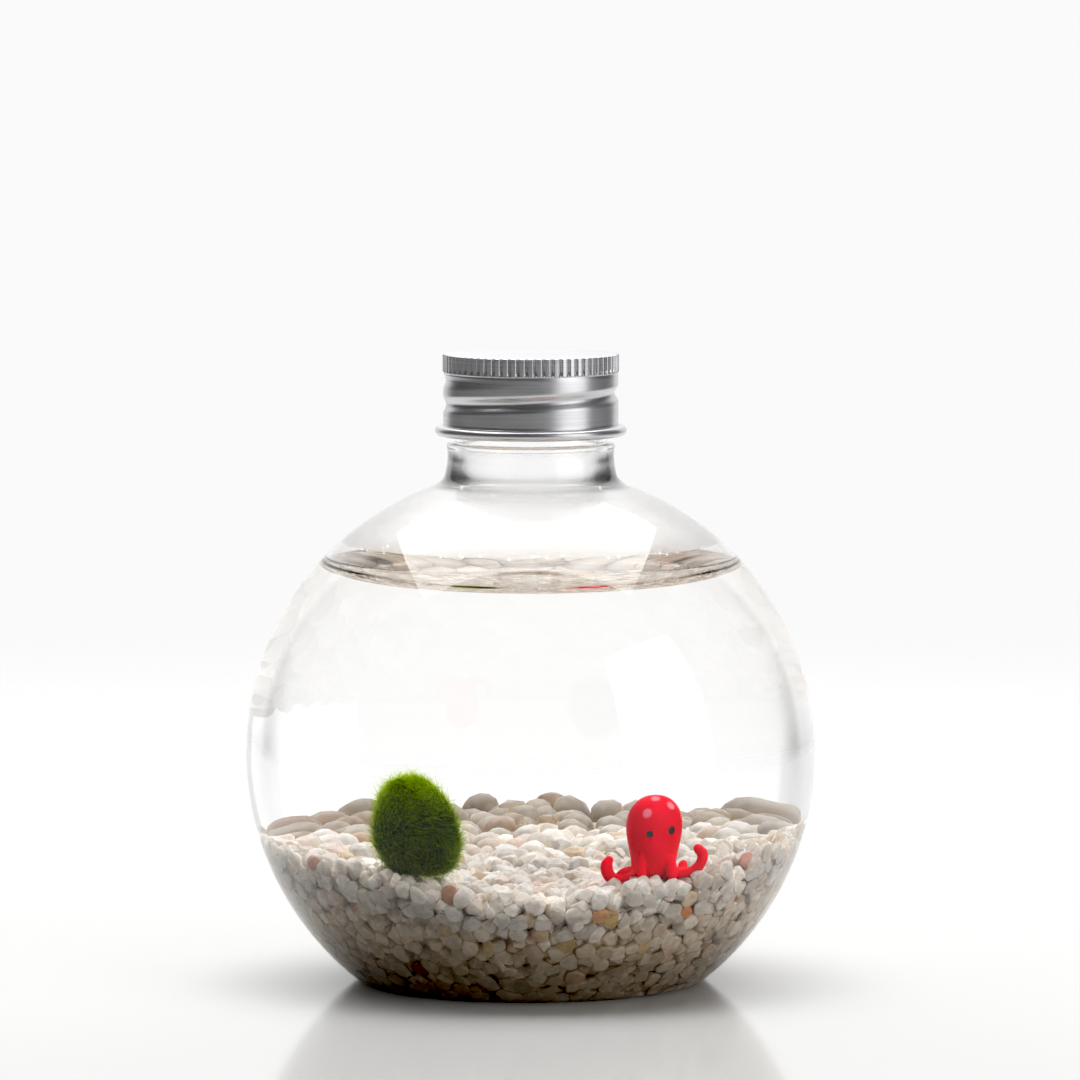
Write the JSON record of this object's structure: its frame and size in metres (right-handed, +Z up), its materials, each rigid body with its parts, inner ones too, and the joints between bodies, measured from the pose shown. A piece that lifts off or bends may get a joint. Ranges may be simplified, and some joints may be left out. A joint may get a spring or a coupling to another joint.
{
  "type": "marimo moss ball in a round bottle",
  "caption": "Round clear bottle with a screw cap, holding water, white quartz gravel, a green marimo moss ball and a small red glass octopus.",
  "frame": {"origin": "middle of the bottle's foot, on the surface that it stands on", "axes": "+Z up along the bottle's axis, -Y towards the front, where the moss ball and the octopus stand"},
  "size_m": [0.09, 0.09, 0.0991],
  "materials": {
    "clear_bottle": "clear blown PET, polished",
    "cap_aluminium": "satin, pressed and rolled",
    "liner_foam": "white foam sheet",
    "water": "clear water",
    "quartz_gravel": "crushed white quartz, wet",
    "moss": "soft green algae threads",
    "red_glass": "lamp-worked opaque red glass, glossy"
  },
  "bodies": {
    "bottle": {"bottle": "clear_bottle", "water": "water", "gravel": "quartz_gravel", "moss_ball": "moss", "octopus": "red_glass"},
    "liner": {"cap_liner": "liner_foam"},
    "cap": {"cap": "cap_aluminium"}
  },
  "joints": [
    {"name": "cap_rise", "type": "slide", "parent": "bottle", "child": "liner", "axis": [0, 0, 1], "range_m": [0, 0.0057]},
    {"name": "cap_turn", "type": "hinge", "parent": "liner", "child": "cap", "pos_m": [0, 0, 0.0931], "axis": [0, 0, 1], "range_deg": [0, 540]}
  ],
  "couplings": [
    {"joint": "cap_rise", "follows": "cap_turn", "m_per_rad": 0.00060479}
  ]
}
